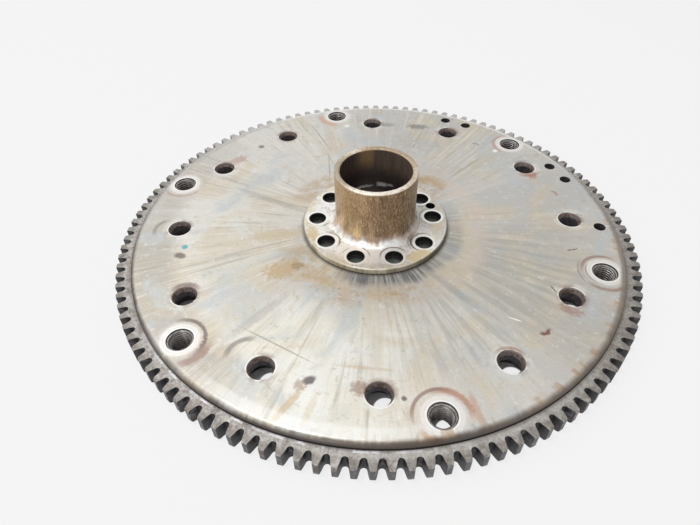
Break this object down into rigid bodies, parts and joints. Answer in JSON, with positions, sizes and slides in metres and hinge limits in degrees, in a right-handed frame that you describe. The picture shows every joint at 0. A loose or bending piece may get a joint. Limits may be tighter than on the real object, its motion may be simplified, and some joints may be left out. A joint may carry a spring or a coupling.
{
  "type": "flywheel ring gear",
  "caption": "Flat flywheel disc with a shrunk-on starter ring gear, a central tubular pilot hub on a bolted flange, countersunk plate holes and threaded bushes near the edge.",
  "frame": {"origin": "centre of the disc's underside, on the axis of rotation", "axes": "+Z along the axis of rotation, from the crankshaft face towards the pilot tube; +X towards the index hole side of the crank bolt circle"},
  "size_m": [0.508, 0.508, 0.0885],
  "materials": {
    "disc_steel": "ground steel, oil-stained, light rust round the holes",
    "ring_steel": "cut gear steel, dark between the teeth, dull",
    "hub_steel": "turned steel with baked brown oil on the tube",
    "bush_steel": "turned steel, threaded bore"
  },
  "bodies": {
    "root": {"flywheel_disc": "disc_steel", "ring_gear": "ring_steel", "pilot_hub": "hub_steel", "threaded_bush_1": "bush_steel", "threaded_bush_2": "bush_steel", "threaded_bush_3": "bush_steel", "threaded_bush_4": "bush_steel", "threaded_bush_5": "bush_steel", "threaded_bush_6": "bush_steel"}
  },
  "joints": []
}
